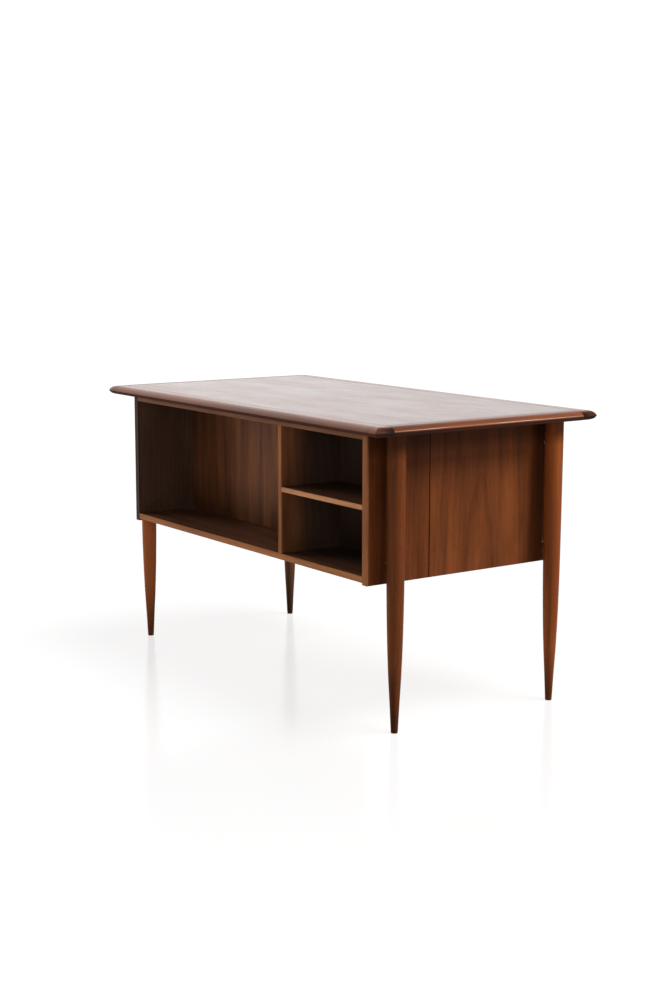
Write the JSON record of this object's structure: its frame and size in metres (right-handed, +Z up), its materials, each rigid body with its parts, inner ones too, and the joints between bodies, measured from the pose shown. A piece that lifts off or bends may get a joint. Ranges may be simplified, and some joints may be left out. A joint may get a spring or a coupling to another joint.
{
  "type": "writing desk",
  "caption": "Free-standing writing desk on turned tapered legs, with an open bookcase in its back and drawer pedestals on either side of a kneehole.",
  "frame": {"origin": "on the floor, under the middle of the desk top", "axes": "+Z up; +X along the desk from the sitter's left to the sitter's right; +Y from the drawers to the bookcase, so the drawers open towards -Y"},
  "size_m": [1.275, 0.68, 0.73],
  "materials": {
    "walnut_veneer": "satin lacquer",
    "solid_walnut": "satin lacquer",
    "oak": "waxed",
    "beech": "waxed",
    "beech_plywood": "waxed",
    "brass": "dull",
    "steel": "zinc plated"
  },
  "bodies": {
    "desk": {"top_panel": "walnut_veneer", "bookcase_divider": "walnut_veneer", "bookcase_shelf": "walnut_veneer", "bookcase_back": "walnut_veneer", "bookcase_bottom": "walnut_veneer", "bookcase_top": "walnut_veneer", "bookcase_end_left": "walnut_veneer", "bookcase_end_right": "walnut_veneer", "pedestal_left_outer_side": "walnut_veneer", "pedestal_left_inner_side": "walnut_veneer", "pedestal_left_bottom": "walnut_veneer", "pedestal_left_top": "walnut_veneer", "pedestal_right_outer_side": "walnut_veneer", "pedestal_right_inner_side": "walnut_veneer", "pedestal_right_bottom": "walnut_veneer", "pedestal_right_top": "walnut_veneer", "top_lipping_front": "solid_walnut", "top_lipping_rear": "solid_walnut", "top_lipping_left": "solid_walnut", "top_lipping_right": "solid_walnut", "leg_front_left": "solid_walnut", "leg_front_right": "solid_walnut", "leg_rear_left": "solid_walnut", "leg_rear_right": "solid_walnut", "drawer_runners": "beech", "leg_spacers": "brass", "leg_bolts": "steel", "top_screws": "steel", "shelf_pins": "brass"},
    "drawer_left_lower": {"drawer_left_lower_front": "walnut_veneer", "drawer_left_lower_sides": "oak", "drawer_left_lower_back": "oak", "drawer_left_lower_bottom": "beech_plywood", "drawer_left_lower_knob": "solid_walnut"},
    "drawer_left_middle": {"drawer_left_middle_front": "walnut_veneer", "drawer_left_middle_sides": "oak", "drawer_left_middle_back": "oak", "drawer_left_middle_bottom": "beech_plywood", "drawer_left_middle_knob": "solid_walnut"},
    "drawer_left_upper": {"drawer_left_upper_front": "walnut_veneer", "drawer_left_upper_sides": "oak", "drawer_left_upper_back": "oak", "drawer_left_upper_bottom": "beech_plywood", "drawer_left_upper_knob": "solid_walnut"},
    "drawer_right_lower": {"drawer_right_lower_front": "walnut_veneer", "drawer_right_lower_sides": "oak", "drawer_right_lower_back": "oak", "drawer_right_lower_bottom": "beech_plywood", "drawer_right_lower_knob": "solid_walnut"},
    "drawer_right_middle": {"drawer_right_middle_front": "walnut_veneer", "drawer_right_middle_sides": "oak", "drawer_right_middle_back": "oak", "drawer_right_middle_bottom": "beech_plywood", "drawer_right_middle_knob": "solid_walnut"},
    "drawer_right_upper": {"drawer_right_upper_front": "walnut_veneer", "drawer_right_upper_sides": "oak", "drawer_right_upper_back": "oak", "drawer_right_upper_bottom": "beech_plywood", "drawer_right_upper_knob": "solid_walnut"}
  },
  "joints": [
    {"name": "drawer_left_lower_slide", "type": "slide", "parent": "desk", "child": "drawer_left_lower", "axis": [0, -1, 0], "range_m": [0, 0.28]},
    {"name": "drawer_left_middle_slide", "type": "slide", "parent": "desk", "child": "drawer_left_middle", "axis": [0, -1, 0], "range_m": [0, 0.28]},
    {"name": "drawer_left_upper_slide", "type": "slide", "parent": "desk", "child": "drawer_left_upper", "axis": [0, -1, 0], "range_m": [0, 0.28]},
    {"name": "drawer_right_lower_slide", "type": "slide", "parent": "desk", "child": "drawer_right_lower", "axis": [0, -1, 0], "range_m": [0, 0.28]},
    {"name": "drawer_right_middle_slide", "type": "slide", "parent": "desk", "child": "drawer_right_middle", "axis": [0, -1, 0], "range_m": [0, 0.28]},
    {"name": "drawer_right_upper_slide", "type": "slide", "parent": "desk", "child": "drawer_right_upper", "axis": [0, -1, 0], "range_m": [0, 0.28]}
  ]
}
